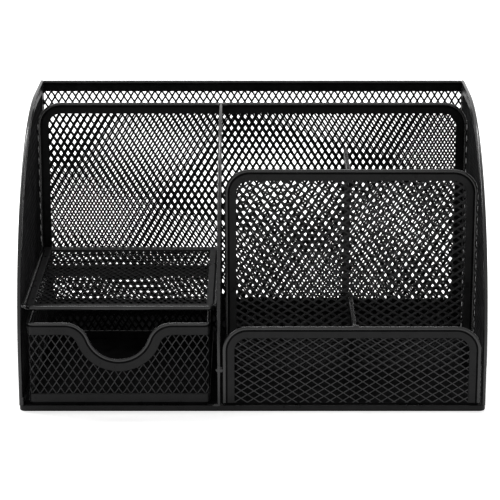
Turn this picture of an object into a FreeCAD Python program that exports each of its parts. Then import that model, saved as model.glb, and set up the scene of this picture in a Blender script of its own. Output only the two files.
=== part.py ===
import FreeCAD, Part
import os
import re

# Pen stand with drawer, in expanded metal sheet edged with folded strip.
# Millimetres. X runs to the right, Y to the back, Z up. The origin is at the
# middle of the footprint, on the surface that the stand rests on.

SIZES = (
    ("width", 220, "overall width"),
    ("depth", 140, "overall depth"),
    ("height", 130, "overall height, to the top of the sides and the back"),
    ("side_flat", 2.2, "level top of the partition, from its curve to the letter divider"),
    ("bead", 1.8, "diameter of the rolled nose of an edge strip"),
    ("strip_width", 5.7, "width of an edge strip, nose and all"),
    ("strip_thickness", 1.2, "thickness of the flat part of an edge strip"),
    ("sheet_setback", 1.6, "from the outer edge of a strip to the sheet inside it"),
    ("sheet_thickness", 0.3, "thickness of the sheets"),
    ("grid_bar", 4, "bar between two openings of a sheet's plain grid"),
    ("rail_height", 3, "height of the base rail"),
    ("rail_width", 6, "width of the base rail"),
    ("rail_rim", 2.4, "width of the raised border of the base rail"),
    ("rail_corner", 3, "corner radius of the base rail, seen from above"),
    ("rail_round", 0.7, "rounding of the outer edges of the base rail"),
    ("back_strip", 8.2, "height of the strip along the foot of the back"),
    ("letter_depth", 29, "depth of the letter slot, sheet to sheet"),
    ("letter_drop", 5.3, "from the top of the sides to the top of the letter divider"),
    ("panel_corner", 12, "corner radius of the upright panels"),
    ("cup_depth", 60, "depth of the pen cups, sheet to sheet"),
    ("cup_height", 105.1, "top of the pen cups above the table"),
    ("cup_gap", 2.3, "from the partition's middle to the edge of the cup front"),
    ("tray_height", 42, "top of the front panel above the table"),
    ("tray_gap", 1.7, "from the partition's middle to the edge of the front panel"),
    ("tray_side_gap", 0.9, "between the front panel and the right side's strip"),
    ("partition_offset", 15.8, "partition, to the left of the middle"),
    ("bar_diameter", 1.6, "diameter of the bare bar under a cut strip"),
    ("bar_drop", 1, "from the foot of the sides' curve down to the cut ends of the strips"),
    ("sleeve_diameter", 2.3, "diameter of the sleeve at the foot of the left side's strip"),
    ("sleeve_height", 4, "height of that sleeve above the base rail"),
    ("cup_divider_offset", 47, "cup divider, to the right of the middle"),
    ("cup_divider_drop", 3.1, "from the top of the cups to the top of the cup divider"),
    ("tray_divider_offset", 48, "tray divider, to the right of the middle"),
    ("tray_divider_drop", 0.4, "from the top of the front panel to the top of the tray divider"),
    ("shelf_height", 49.5, "top of the shelf's strip above the table"),
    ("shelf_bead", 2.2, "diameter of the shelf strip's nose"),
    ("shelf_setback", 8, "from the front to the shelf's front edge"),
    ("shelf_corner", 6, "radius of the shelf's front corners"),
    ("drawer_setback", 0.9, "from the front of the stand to the drawer's front band"),
    ("drawer_left_gap", 2.7, "between the left side's nose and the drawer's wall"),
    ("drawer_right_gap", 4.1, "between the drawer's wall and the partition's middle"),
    ("drawer_back_gap", 15.2, "between the drawer's back and the letter divider's middle"),
    ("drawer_top_gap", 3.6, "between the drawer's rim and the shelf's nose"),
    ("drawer_play", 0.3, "running gap under the drawer"),
    ("drawer_corner", 2.8, "corner radius of the drawer's wall"),
    ("drawer_bead", 1.5, "diameter of the rolled nose of the drawer's rim"),
    ("drawer_rim", 6, "height of the drawer's rim strip"),
    ("drawer_foot", 3.9, "height of the strip along the drawer's foot"),
    ("drawer_floor_lift", 0.6, "from the drawer's lower edge to its floor sheet"),
    ("scoop_depth", 18, "depth of the finger scoop in the drawer's front"),
    ("scoop_radius", 14.6, "radius of the scoop's bottom"),
    ("shoulder_radius", 12, "radius of the scoop's shoulders"),
)

doc = FreeCAD.newDocument("PenStand")
sizes = doc.addObject("Spreadsheet::Sheet", "Sizes")
for row, (alias, value, meaning) in enumerate(SIZES, 1):
    sizes.set("A%d" % row, meaning)
    sizes.set("B%d" % row, str(value))
    sizes.setAlias("B%d" % row, alias)
doc.recompute()

ALIASES = re.compile(r"\b(%s)\b" % "|".join(alias for alias, value, meaning in SIZES))

# Half sizes of the ground welds along X, Y and Z, and how far each sits off its place, in beads.
WELDS = {
    "nub": ((0.5, 0.5, 0.9), (0, 0.1, 0)),
    "saddle": ((1.15, 0.5, 0.7), (0.2, 0, -0.9)),
    "foot": ((1.3, 0.5, 0.5), (-0.6, 0, -0.1)),
    "top": ((1.6, 0.5, 0.45), (0, 0, -0.5)),
    "tray": ((1, 0.8, 0.7), (0, 0, -0.2)),
}

# Places that several pieces share, as formulas of the sheet's values.
FRONT = "(-depth / 2)"
BACK = "(depth / 2)"
SIDE = "(width / 2)"
SIDE_PLANE = "(width / 2 - bead / 2)"
SIDE_FACE = "(width / 2 - bead / 2 - sheet_thickness / 2)"
SIDE_STRIP_FACE = "(width / 2 - bead)"
BACK_PLANE = "(depth / 2 - bead / 2)"
LETTER_PLANE = "(depth / 2 - bead / 2 - letter_depth)"
LETTER_TOP = "(height - letter_drop)"
CUP_PLANE = "(depth / 2 - bead / 2 - letter_depth - cup_depth)"
TRAY_PLANE = "(-depth / 2 + bead / 2)"
PARTITION = "(-partition_offset)"
PARTITION_FACE = "(-partition_offset - sheet_thickness / 2)"
# The front curve of the sides and the partition ends where the partition's level top
# begins. The partition's height limits its radius.
SIDE_RADIUS = ("min(depth - bead - letter_depth - side_flat; "
               "height - letter_drop - rail_height - 2 * bead)")
BAR_TOP = "(height - %s - bar_drop)" % SIDE_RADIUS
DRAWER_LEFT = "(-width / 2 + bead + drawer_left_gap)"
DRAWER_RIGHT = "(-partition_offset - drawer_right_gap)"
DRAWER_FRONT = "(-depth / 2 + drawer_setback)"
DRAWER_BACK = "(depth / 2 - bead / 2 - letter_depth - drawer_back_gap)"
DRAWER_FOOT = "(rail_height + drawer_play)"
DRAWER_TOP = "(shelf_height - shelf_bead - drawer_top_gap)"
# A cutting tool reaches this far past what it cuts.
CLEAR = "2 * bead"

UNIT = {"x": FreeCAD.Vector(1, 0, 0), "y": FreeCAD.Vector(0, 1, 0), "z": FreeCAD.Vector(0, 0, 1)}
# The two axes that lie in a panel, by the axis that the panel faces.
IN_PLANE = {"x": ("y", "z"), "y": ("x", "z"), "z": ("x", "y")}


def bind(item, prop, formula):
    """Ties one property of an object to the sheet."""
    item.setExpression(prop, ALIASES.sub(r"Sizes.\1", formula))


def place(item, at, rotation=FreeCAD.Rotation()):
    """Puts an object at three formulas, turned by a fixed rotation."""
    item.Placement = FreeCAD.Placement(FreeCAD.Vector(), rotation)
    for axis, formula in zip("xyz", at):
        bind(item, "Placement.Base." + axis, formula)
    return item


def turned(first, second):
    """The rotation that takes local X to first and local Y to second."""
    return FreeCAD.Rotation(first, second, first.cross(second), "XYZ")


def block(x, y, z):
    """A box between pairs of formulas."""
    item = doc.addObject("Part::Box", "Block")
    for prop, (low, high) in zip(("Length", "Width", "Height"), (x, y, z)):
        bind(item, prop, "(%s) - (%s)" % (high, low))
    return place(item, (x[0], y[0], z[0]))


def rod(axis, start, end, at, diameter):
    """A round rod along one axis; at gives the other two places in order."""
    item = doc.addObject("Part::Cylinder", "Rod")
    bind(item, "Radius", "(%s) / 2" % diameter)
    bind(item, "Height", "(%s) - (%s)" % (end, start))
    centre = list(at)
    centre.insert("xyz".index(axis), start)
    return place(item, centre, FreeCAD.Rotation(UNIT["z"], UNIT[axis]))


def ball(at, diameter):
    item = doc.addObject("Part::Sphere", "Ball")
    bind(item, "Radius", "(%s) / 2" % diameter)
    return place(item, at)


def weld(name, at):
    """An ellipsoid, the shape of a ground weld."""
    half_sizes, shift = WELDS[name]
    item = doc.addObject("Part::Ellipsoid", "Weld")
    for prop, beads in zip(("Radius2", "Radius3", "Radius1"), half_sizes):
        bind(item, prop, "%s * bead" % beads)
    return place(item, ["%s + %s * bead" % pair for pair in zip(at, shift)])


def arc_bead(at, radius, diameter, sweep, rotation):
    """A round rod bent to an arc that starts at local X."""
    item = doc.addObject("Part::Torus", "Bend")
    bind(item, "Radius1", radius)
    bind(item, "Radius2", "(%s) / 2" % diameter)
    bind(item, "Angle3", sweep)
    return place(item, at, rotation)


def fuse(*items):
    item = doc.addObject("Part::MultiFuse", "Join")
    item.Shapes = list(items)
    item.Refine = True
    return item


def cut(base, *tools):
    item = doc.addObject("Part::Cut", "Cut")
    item.Base = base
    item.Tool = tools[0] if len(tools) == 1 else fuse(*tools)
    item.Refine = True
    return item


def common(*items):
    item = doc.addObject("Part::MultiCommon", "Overlap")
    item.Shapes = list(items)
    item.Refine = True
    return item


class Panel:
    """A flat panel. Its in-plane axes are called a and b, its sides a-, a+, b- and b+."""

    def __init__(self, normal, plane, a, b, edged, rounded=()):
        self.normal, self.plane, self.a, self.b = normal, plane, a, b
        self.edged, self.rounded = edged, dict(rounded)
        first, second = (UNIT[axis] for axis in IN_PLANE[normal])
        self.first, self.second = first, second

    def at(self, a, b, n):
        """The place of in-plane coordinates a and b at height n, in X, Y, Z order."""
        place_of = dict(zip(IN_PLANE[self.normal], (a, b)))
        place_of[self.normal] = n
        return [place_of[axis] for axis in "xyz"]

    def limits(self, inset):
        """The four sides' places, moved inwards where they are edged."""
        moved = {side: inset if side in self.edged else "0" for side in ("a-", "a+", "b-", "b+")}
        return (
            ("(%s + %s)" % (self.a[0], moved["a-"]), "(%s - %s)" % (self.a[1], moved["a+"])),
            ("(%s + %s)" % (self.b[0], moved["b-"]), "(%s - %s)" % (self.b[1], moved["b+"])),
        )

    def corner(self, sides):
        """Centre of a rounded corner and the rotation that starts its quarter turn."""
        side_a, side_b = sides
        radius = self.rounded[sides]
        low_a, low_b = side_a == "a-", side_b == "b-"
        a = "(%s + %s)" % (self.a[0], radius) if low_a else "(%s - %s)" % (self.a[1], radius)
        b = "(%s + %s)" % (self.b[0], radius) if low_b else "(%s - %s)" % (self.b[1], radius)
        first = self.first * (-1 if low_a else 1)
        second = self.second * (-1 if low_b else 1)
        return a, b, turned(first, second), first.cross(second).dot(UNIT[self.normal]) > 0

    def plate(self, inset, low, high):
        """A plate of the panel's outline between two heights along the normal."""
        a, b = self.limits(inset)
        shape = block(*self.at(a, b, (low, high)))
        for sides, radius in self.rounded.items():
            centre_a, centre_b, rotation, upward = self.corner(sides)
            square = block(*self.at(
                (a[0], centre_a) if sides[0] == "a-" else (centre_a, a[1]),
                (b[0], centre_b) if sides[1] == "b-" else (centre_b, b[1]),
                (low, high)))
            quarter = doc.addObject("Part::Cylinder", "Quarter")
            quarter.Angle = 90
            bind(quarter, "Radius", "%s - %s" % (radius, inset))
            bind(quarter, "Height", "(%s) - (%s)" % (high, low))
            place(quarter, self.at(centre_a, centre_b, low if upward else high), rotation)
            shape = fuse(cut(shape, square), quarter)
        return shape

    def sheet(self, inset, thickness):
        """A plate centred on the panel's plane."""
        return self.plate(inset, "(%s - (%s) / 2)" % (self.plane, thickness),
                          "(%s + (%s) / 2)" % (self.plane, thickness))

    def openwork(self, sheet, columns, rows):
        """The given sheet of this panel with a plain grid of openings inside its strips."""
        border = {side: "strip_width" if side in self.edged else "grid_bar"
                  for side in ("a-", "a+", "b-", "b+")}
        field = Panel(self.normal, self.plane,
                      ("(%s + %s)" % (self.a[0], border["a-"]), "(%s - %s)" % (self.a[1], border["a+"])),
                      ("(%s + %s)" % (self.b[0], border["b-"]), "(%s - %s)" % (self.b[1], border["b+"])),
                      (), {sides: "(%s - strip_width)" % radius for sides, radius in self.rounded.items()})
        faces = ("(%s - %s)" % (self.plane, CLEAR), "(%s + %s)" % (self.plane, CLEAR))
        beyond = ("(%s - bead)" % self.plane, "(%s + bead)" % self.plane)
        bars = []
        for (low, high), count, along_a in ((field.a, columns, True), (field.b, rows, False)):
            for number in range(1, count):
                middle = "%s + (%s - %s) * %d / %d" % (low, high, low, number, count)
                span = ("%s - grid_bar / 2" % middle, "%s + grid_bar / 2" % middle)
                bars.append(block(*(self.at(span, field.b, faces) if along_a
                                    else self.at(field.a, span, faces))))
        return cut(sheet, cut(field.plate("0", *beyond), *bars))

    def nose(self, diameter, nosed):
        """The rolled nose: rods along the given sides, bends and balls at their corners."""
        half = "%s / 2" % diameter
        a, b = self.limits(half)
        pieces = []
        for side in nosed:
            along_a = side[0] == "b"
            ends = []
            for end in (("a-", "a+") if along_a else ("b-", "b+")):
                sides = (end, side) if along_a else (side, end)
                low = end[1] == "-"
                limit = (a if along_a else b)[0 if low else 1]
                if sides in self.rounded:
                    centre_a, centre_b, rotation, upward = self.corner(sides)
                    limit = centre_a if along_a else centre_b
                ends.append(limit)
            across = (b if along_a else a)[0 if side[1] == "-" else 1]
            axis = IN_PLANE[self.normal][0 if along_a else 1]
            spot = self.at(ends[0], across, self.plane) if along_a else self.at(across, ends[0], self.plane)
            del spot["xyz".index(axis)]
            pieces.append(rod(axis, ends[0], ends[1], spot, diameter))
        for sides, radius in self.rounded.items():
            centre_a, centre_b, rotation, upward = self.corner(sides)
            pieces.append(arc_bead(self.at(centre_a, centre_b, self.plane),
                                   "%s - %s" % (radius, half), diameter, "90", rotation))
        for side_a, side_b in (("a-", "b-"), ("a-", "b+"), ("a+", "b-"), ("a+", "b+")):
            if side_a in nosed and side_b in nosed and (side_a, side_b) not in self.rounded:
                spot = self.at(a[0 if side_a == "a-" else 1], b[0 if side_b == "b-" else 1], self.plane)
                pieces.append(ball(spot, diameter))
        return pieces

    def strip(self, diameter="bead", nosed=None):
        """The folded edge strip: a flat band with the rolled nose along its outer edge."""
        band = cut(self.sheet("%s / 2" % diameter, "strip_thickness"),
                   self.sheet("strip_width", "2 * strip_thickness"))
        return fuse(band, *self.nose(diameter, nosed or self.edged))


parts = []


def finish(item, label):
    item.Label = label
    parts.append(item)
    return item


# ---- base: a rail ring with the closed floor sheet let into it ----

def outer_edges(item, panel_half_x, panel_half_y):
    """Numbers of the edges that lie on the outer wall of a ring."""
    numbers = []
    for number, edge in enumerate(item.Shape.Edges, 1):
        box = edge.BoundBox
        level = box.ZLength < 1e-6
        outside = max(abs(box.XMin), abs(box.XMax)) > panel_half_x - 1e-6 or \
            max(abs(box.YMin), abs(box.YMax)) > panel_half_y - 1e-6
        if level and outside:
            numbers.append(number)
    return numbers


ring = Panel("z", "0", ("-" + SIDE, SIDE), (FRONT, BACK), ("a-", "a+", "b-", "b+"),
             {sides: "rail_corner" for sides in
              (("a-", "b-"), ("a+", "b-"), ("a-", "b+"), ("a+", "b+"))})
floor_level = "(rail_height - sheet_thickness)"
floor = Panel("z", floor_level, ("-%s + rail_rim" % SIDE, SIDE + " - rail_rim"),
              (FRONT + " + rail_rim", BACK + " - rail_rim"), ())
floor_sheet = finish(floor.plate("0", floor_level, "rail_height"), "floor_sheet")
opening = block(("-%s + rail_width" % SIDE, SIDE + " - rail_width"),
                (FRONT + " + rail_width", BACK + " - rail_width"),
                ("-" + CLEAR, "rail_height + " + CLEAR))
rail = cut(ring.plate("0", "0", "rail_height"), opening, floor_sheet)
doc.recompute()
rounded_rail = doc.addObject("Part::Fillet", "RoundedRail")
rounded_rail.Base = rail
rail_round = float(sizes.rail_round)
rounded_rail.Edges = [(number, rail_round, rail_round) for number in
                      outer_edges(rail, float(sizes.width) / 2, float(sizes.depth) / 2)]
base_rail = finish(rounded_rail, "base_rail")


# ---- sides: rounded in front, square behind ----

def side_outline(plane, top, back, bottom, edged):
    """Outline with the big rounded front edge that the sides and the partition share."""
    return Panel("x", plane, (FRONT, back), (bottom, top), edged, {("a-", "b+"): SIDE_RADIUS})


side_edges = ("a-", "b+", "a+")
left = side_outline("-" + SIDE_PLANE, "height", BACK, "rail_height", side_edges)
left_sheet = left.sheet("sheet_setback", "sheet_thickness")
left_side_mesh = finish(left.openwork(left_sheet, 8, 7), "left_side_mesh")
left_foot = rod("z", "rail_height", "rail_height + sleeve_height",
                ("-%s + sleeve_diameter / 2" % SIDE, FRONT + " + sleeve_diameter / 2"),
                "sleeve_diameter")
left_side_trim = finish(cut(fuse(left.strip(), left_foot), left_sheet), "left_side_trim")

right = side_outline(SIDE_PLANE, "height", BACK, "rail_height", side_edges)
right_sheet = right.sheet("sheet_setback", "sheet_thickness")
right_side_mesh = finish(right.openwork(right_sheet, 8, 7), "right_side_mesh")
below_cut = block((SIDE + " - " + CLEAR, SIDE + " + " + CLEAR),
                  (FRONT + " - " + CLEAR, FRONT + " + strip_width + " + CLEAR), ("0", BAR_TOP))
right_bar = rod("z", "rail_height", BAR_TOP + " + bead", (SIDE_PLANE, TRAY_PLANE), "bar_diameter")
right_nub = weld("nub", (SIDE_PLANE, TRAY_PLANE, BAR_TOP))
right_side_trim = finish(
    cut(fuse(cut(right.strip(), below_cut), right_bar, right_nub), right_sheet),
    "right_side_trim")

# ---- back: sheet between the sides, a strip along its top and one along its foot ----
back_span = ("-" + SIDE_STRIP_FACE, SIDE_STRIP_FACE)
back = Panel("y", BACK_PLANE, back_span, ("rail_height", "height"), ("b-", "b+"))
back_sheet = back.sheet("sheet_setback", "sheet_thickness")
back_mesh = finish(back.openwork(back_sheet, 12, 7), "back_mesh")
back_head = Panel("y", BACK_PLANE, back_span, ("rail_height", "height"), ("b+",))
back_top_trim = finish(cut(back_head.strip(), back_sheet), "back_top_trim")
back_foot = Panel("y", BACK_PLANE, back_span, ("rail_height", "rail_height + back_strip"), ())
back_bottom_trim = finish(cut(back_foot.sheet("0", "strip_thickness"), back_sheet),
                          "back_bottom_trim")

# ---- upright panels across the stand ----
arch_edges = ("a-", "b+", "a+")
arch_corners = {("a-", "b+"): "panel_corner", ("a+", "b+"): "panel_corner"}

letter = Panel("y", LETTER_PLANE, ("-" + SIDE_FACE, SIDE_FACE), ("rail_height", LETTER_TOP),
               arch_edges, arch_corners)
letter_sheet = letter.sheet("sheet_setback", "sheet_thickness")
letter_divider_mesh = finish(letter.openwork(letter_sheet, 12, 7), "letter_divider_mesh")
letter_divider_trim = finish(cut(letter.strip(), letter_sheet), "letter_divider_trim")

cup = Panel("y", CUP_PLANE, (PARTITION + " + cup_gap", SIDE_FACE), ("rail_height", "cup_height"),
            arch_edges, arch_corners)
cup_sheet = cup.sheet("sheet_setback", "sheet_thickness")
cup_front_mesh = finish(cup.openwork(cup_sheet, 7, 6), "cup_front_mesh")
cup_front_trim = finish(cut(cup.strip(), cup_sheet), "cup_front_trim")

tray = Panel("y", TRAY_PLANE, (PARTITION + " + tray_gap", SIDE_STRIP_FACE + " - tray_side_gap"),
             ("rail_height", "tray_height"), arch_edges, arch_corners)
tray_sheet = tray.sheet("sheet_setback", "sheet_thickness")
front_panel_mesh = finish(tray.openwork(tray_sheet, 7, 2), "front_panel_mesh")
front_panel_trim = finish(cut(tray.strip(), tray_sheet), "front_panel_trim")

# ---- partition: between the drawer's bay and the cups, up to the letter divider ----
letter_front = LETTER_PLANE + " - bead / 2"
partition = side_outline(PARTITION, LETTER_TOP, letter_front, "rail_height", ("a-", "b+"))
partition_sheet = partition.sheet("sheet_setback", "sheet_thickness")
partition_mesh = finish(partition.openwork(partition_sheet, 6, 7), "partition_mesh")
partition_cut = block((PARTITION + " - " + CLEAR, PARTITION + " + " + CLEAR),
                      (FRONT + " - " + CLEAR, FRONT + " + strip_width + " + CLEAR),
                      ("0", BAR_TOP))
partition_bar = rod("z", "rail_height", BAR_TOP + " + bead", (PARTITION, TRAY_PLANE), "bar_diameter")
saddle = weld("saddle", (PARTITION, TRAY_PLANE, BAR_TOP))
foot_weld = weld("foot", (PARTITION, TRAY_PLANE, "rail_height"))
top_weld = weld("top", (PARTITION, letter_front, LETTER_TOP))
partition_trim = finish(
    cut(fuse(cut(partition.strip(), partition_cut), partition_bar, saddle, foot_weld, top_weld),
        partition_sheet, front_panel_trim, base_rail, letter_divider_trim),
    "partition_trim")

# ---- dividers between the two cups and between the two trays ----
cup_back_face = CUP_PLANE + " + strip_thickness / 2"
letter_sheet_face = LETTER_PLANE + " - sheet_thickness / 2"
cup_divider = Panel("x", "cup_divider_offset", (cup_back_face, letter_sheet_face),
                    ("rail_height", "cup_height - cup_divider_drop"), ("b+",))
cup_divider_sheet = cup_divider.sheet("sheet_setback", "sheet_thickness")
cup_divider_mesh = finish(cup_divider.openwork(cup_divider_sheet, 3, 6), "cup_divider_mesh")
cup_divider_trim = finish(cut(cup_divider.strip(), cup_divider_sheet), "cup_divider_trim")

tray_back_face = TRAY_PLANE + " + bead / 2"
cup_sheet_face = CUP_PLANE + " - sheet_thickness / 2"
tray_divider = Panel("x", "tray_divider_offset", (tray_back_face, cup_sheet_face),
                     ("rail_height", "tray_height - tray_divider_drop"), ("b+",))
tray_divider_sheet = tray_divider.sheet("sheet_setback", "sheet_thickness")
tray_divider_mesh = finish(tray_divider.openwork(tray_divider_sheet, 3, 2), "tray_divider_mesh")
tray_weld = cut(weld("tray", ("tray_divider_offset", tray_back_face, "tray_height")),
                block(("tray_divider_offset - " + CLEAR, "tray_divider_offset + " + CLEAR),
                      (FRONT + " - " + CLEAR, tray_back_face),
                      ("tray_height - " + CLEAR, "tray_height + " + CLEAR)))
tray_divider_trim = finish(cut(fuse(tray_divider.strip(), tray_weld), tray_divider_sheet),
                           "tray_divider_trim")

# ---- shelf over the drawer ----
shelf = Panel("z", "(shelf_height - shelf_bead / 2)", ("-" + SIDE_FACE, PARTITION_FACE),
              (FRONT + " + shelf_setback", letter_front), ("a-", "a+", "b-", "b+"),
              {("a-", "b-"): "shelf_corner", ("a+", "b-"): "shelf_corner"})
shelf_sheet = shelf.sheet("sheet_setback", "sheet_thickness")
shelf_mesh = finish(shelf.openwork(shelf_sheet, 5, 6), "shelf_mesh")
shelf_trim = finish(cut(shelf.strip("shelf_bead", ("a-", "b-", "a+")), shelf_sheet), "shelf_trim")

# ---- drawer: one sheet wrapped round a floor, a rim strip with the scoop, a foot strip ----
drawer = Panel("z", "(%s - drawer_bead / 2)" % DRAWER_TOP, (DRAWER_LEFT, DRAWER_RIGHT),
               (DRAWER_FRONT, DRAWER_BACK), ("a-", "a+", "b-", "b+"),
               {sides: "drawer_corner" for sides in
                (("a-", "b-"), ("a+", "b-"), ("a-", "b+"), ("a+", "b+"))})
MIDDLE = "((%s + %s) / 2)" % (DRAWER_LEFT, DRAWER_RIGHT)
BOTTOM_CENTRE = "(%s - scoop_depth + scoop_radius)" % DRAWER_TOP
SHOULDER_CENTRE = "(%s - shoulder_radius)" % DRAWER_TOP
RADII = "(scoop_radius + shoulder_radius)"
# How far a shoulder's centre lies beside the scoop's centre.
REACH = "sqrt(%s ^ 2 - (%s - scoop_depth) ^ 2)" % (RADII, RADII)


def ring_wall(thickness, low, high):
    """The drawer's wall as a ring of a given thickness, centred on its sheet."""
    middle = "strip_thickness / 2"
    return cut(drawer.plate("(%s - %s / 2)" % (middle, thickness), low, high),
               drawer.plate("(%s + %s / 2)" % (middle, thickness),
                            "%s - %s" % (low, CLEAR), "%s + %s" % (high, CLEAR)))


THROUGH = ("(%s - %s)" % (DRAWER_FRONT, CLEAR), "(%s + %s)" % (DRAWER_FRONT, CLEAR))


def scoop(grow, through=THROUGH):
    """The space over the scoop's S-shaped edge, with that edge moved down by grow."""
    joint = "(%s - (scoop_radius + %s) * (%s - scoop_depth) / %s)" % (
        BOTTOM_CENTRE, grow, RADII, RADII)
    sides = ("(%s - %s)" % (MIDDLE, REACH), "(%s + %s)" % (MIDDLE, REACH))
    upper = block(sides, through, (joint, "%s + %s" % (DRAWER_TOP, CLEAR)))
    rounds = []
    for x, z, radius in ((sides[0], SHOULDER_CENTRE, "shoulder_radius - %s" % grow),
                         (sides[1], SHOULDER_CENTRE, "shoulder_radius - %s" % grow),
                         (MIDDLE, BOTTOM_CENTRE, "scoop_radius + %s" % grow)):
        rounds.append(rod("y", through[0], through[1], (x, z), "2 * (%s)" % radius))
    lower = common(rounds[2], block(sides, through, ("(%s - %s - scoop_radius)" % (
        BOTTOM_CENTRE, grow), joint)))
    return fuse(cut(upper, rounds[0], rounds[1]), lower)


wall_foot = "(%s + strip_thickness)" % DRAWER_FOOT
wall_top = "(%s - sheet_setback)" % DRAWER_TOP
drawer_wall_mesh = finish(
    cut(ring_wall("sheet_thickness", wall_foot, wall_top), scoop("sheet_setback")),
    "drawer_wall_mesh")


def rim_layer(thickness, depth, skin):
    """A layer of the rim: a wall of the given depth that follows the scoop's edge, less a skin."""
    middle = "%s + strip_thickness / 2" % DRAWER_FRONT
    front = ("(%s - %s / 2)" % (middle, thickness), "(%s + %s / 2)" % (middle, thickness))
    top = "(%s - %s)" % (DRAWER_TOP, skin)
    level = ring_wall(thickness, "(%s - %s)" % (DRAWER_TOP, depth), top)
    above = block((DRAWER_LEFT, DRAWER_RIGHT), THROUGH, (top, "%s + 2 * %s" % (DRAWER_TOP, CLEAR)))
    return cut(fuse(level, scoop(depth, front)), scoop(skin), above)


flat_band = rim_layer("strip_thickness", "drawer_rim", "drawer_bead / 2")
nose = rim_layer("drawer_bead", "drawer_bead", "0")
drawer_top_rim = finish(cut(fuse(flat_band, nose), drawer_wall_mesh), "drawer_top_rim")

drawer_bottom_rim = finish(
    cut(ring_wall("strip_thickness", DRAWER_FOOT, "(%s + drawer_foot)" % DRAWER_FOOT),
        drawer_wall_mesh),
    "drawer_bottom_rim")
floor_foot = "(%s + drawer_floor_lift)" % DRAWER_FOOT
drawer_floor_sheet = finish(
    drawer.plate("strip_thickness", floor_foot, floor_foot + " + sheet_thickness"),
    "drawer_floor_sheet")

# ---- check and write ----
doc.recompute()
for item in doc.Objects:
    if "Invalid" in item.State or "Error" in item.State:
        raise RuntimeError("%s failed: %s" % (item.Name, item.State))
os.makedirs("parts", exist_ok=True)
for item in parts:
    if item.Shape.isNull() or not item.Shape.isValid() or not item.Shape.Solids:
        raise RuntimeError("%s has no valid solid" % item.Label)
for item in parts:
    item.Shape.exportStep(os.path.join("parts", item.Label + ".step"))
    print("%-22s %d solid(s) %9.1f mm3" % (item.Label, len(item.Shape.Solids), item.Shape.Volume))
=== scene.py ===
import math

import bmesh
import bpy
import numpy as np
from mathutils import Matrix, Vector, noise


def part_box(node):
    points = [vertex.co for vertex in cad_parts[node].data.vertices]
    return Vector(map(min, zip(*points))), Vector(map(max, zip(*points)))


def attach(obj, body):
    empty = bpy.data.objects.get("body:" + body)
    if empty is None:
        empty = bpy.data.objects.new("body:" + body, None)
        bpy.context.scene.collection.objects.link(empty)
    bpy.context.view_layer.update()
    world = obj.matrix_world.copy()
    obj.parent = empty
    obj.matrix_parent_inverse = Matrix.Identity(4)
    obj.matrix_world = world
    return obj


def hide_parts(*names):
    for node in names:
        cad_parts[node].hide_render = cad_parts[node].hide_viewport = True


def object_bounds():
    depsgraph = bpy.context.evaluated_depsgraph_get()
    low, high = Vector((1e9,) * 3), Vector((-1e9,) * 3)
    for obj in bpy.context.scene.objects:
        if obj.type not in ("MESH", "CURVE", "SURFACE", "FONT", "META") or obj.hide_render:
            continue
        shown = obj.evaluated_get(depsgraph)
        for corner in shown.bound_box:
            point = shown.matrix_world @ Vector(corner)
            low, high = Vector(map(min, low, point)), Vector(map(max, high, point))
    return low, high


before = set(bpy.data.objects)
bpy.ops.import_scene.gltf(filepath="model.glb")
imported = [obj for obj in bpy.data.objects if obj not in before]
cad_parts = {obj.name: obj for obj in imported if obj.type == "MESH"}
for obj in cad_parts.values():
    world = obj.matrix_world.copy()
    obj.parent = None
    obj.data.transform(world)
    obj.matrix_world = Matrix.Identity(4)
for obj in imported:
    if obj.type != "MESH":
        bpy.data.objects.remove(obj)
cad_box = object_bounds()

# Pen stand with drawer, in black expanded metal edged with folded strip. Metres, with
# the same axes as the frame: X to the right, Y to the back, Z up.
MM = 0.001

# The expanded metal, in millimetres: pitches along and across its diamonds, the width of a
# strand, the length of the bond where two strands meet, the sheet's thickness, and how far a
# strand leans out of the sheet and rises along its middle.
LONG_WAY = 5.9
SHORT_WAY = 3.59
STRAND = 0.90
FINE_STRAND = 0.36
SIDE_STRAND = 1.0
SHELF_STRAND = 1.05
BOND = 0.30
SHEET = 0.24
TILT = 0.18
SIDE_TILT = 0.36
RIDGE = 0.08
# Points closer than this are joined to one.
JOIN = 0.02

# The lattices of single sheets: pitches, the centre of one hole in the sheet's plane, and how
# far its columns lean and its rows slope, as tangents.
BACK_LATTICE = {"long_way": 5.922, "short_way": 3.582, "hole": (2.13, 83.39),
                "lean": 0.0204, "slope": -0.0033}
LETTER_LATTICE = {"long_way": 6.03, "short_way": 3.546, "hole": (0.30, 82.09),
                  "lean": 0.0116, "slope": 0.0053}
CUP_LATTICE = {"long_way": 6.055, "short_way": 3.797, "hole": (19.97, 72.06),
               "lean": 0.0132, "slope": -0.0172}
TRAY_LATTICE = {"long_way": 6.01, "short_way": 3.834, "hole": (22.07, 24.82),
                "lean": -0.0210, "slope": 0.0225}
# The drawer's: pitches, and the height and the place along the wall of one hole's centre.
DRAWER_LONG_WAY = 6.03
DRAWER_SHORT_WAY = 3.9
DRAWER_HOLE = (23.46, 2.77)

# The folded strips and the panels that they edge, in millimetres.
SETBACK = 1.6
STRIP_WIDTH = 5.7
STRIP = 1.2
NOSE = 1.8
NECK = 0.66
# How far from the nose the crease begins and ends and the full thickness begins.
CREASE_START = 0.02
CREASE_END = 0.45
BAND_START = 0.6
# How far the edges of a band are softened.
SOFT = 0.2
OUTER_LEFT = -110.0
SIDE_RADIUS = 107.0
PANEL_CORNER = 12.0
SHELF_CORNER = 6.0
SHELF_NOSE = 2.2
BAR = 1.6
BAR_TOP = 22.0
SLEEVE = 2.3
SLEEVE_HEIGHT = 4.0

# The drawer, in millimetres.
DRAWER_CORNER = 2.8
DRAWER_NOSE = 1.5
DRAWER_RIM = 6.0
SCOOP_DEPTH = 18.0
SCOOP_RADIUS = 14.6
SHOULDER_RADIUS = 12.0
# The foot strip stands over a folded lip set back under it.
FOOT_STRIP = 4.1
FOOT_LIP = 1.1
LIP_OUT = -0.2
LIP_IN = -0.5

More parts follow.
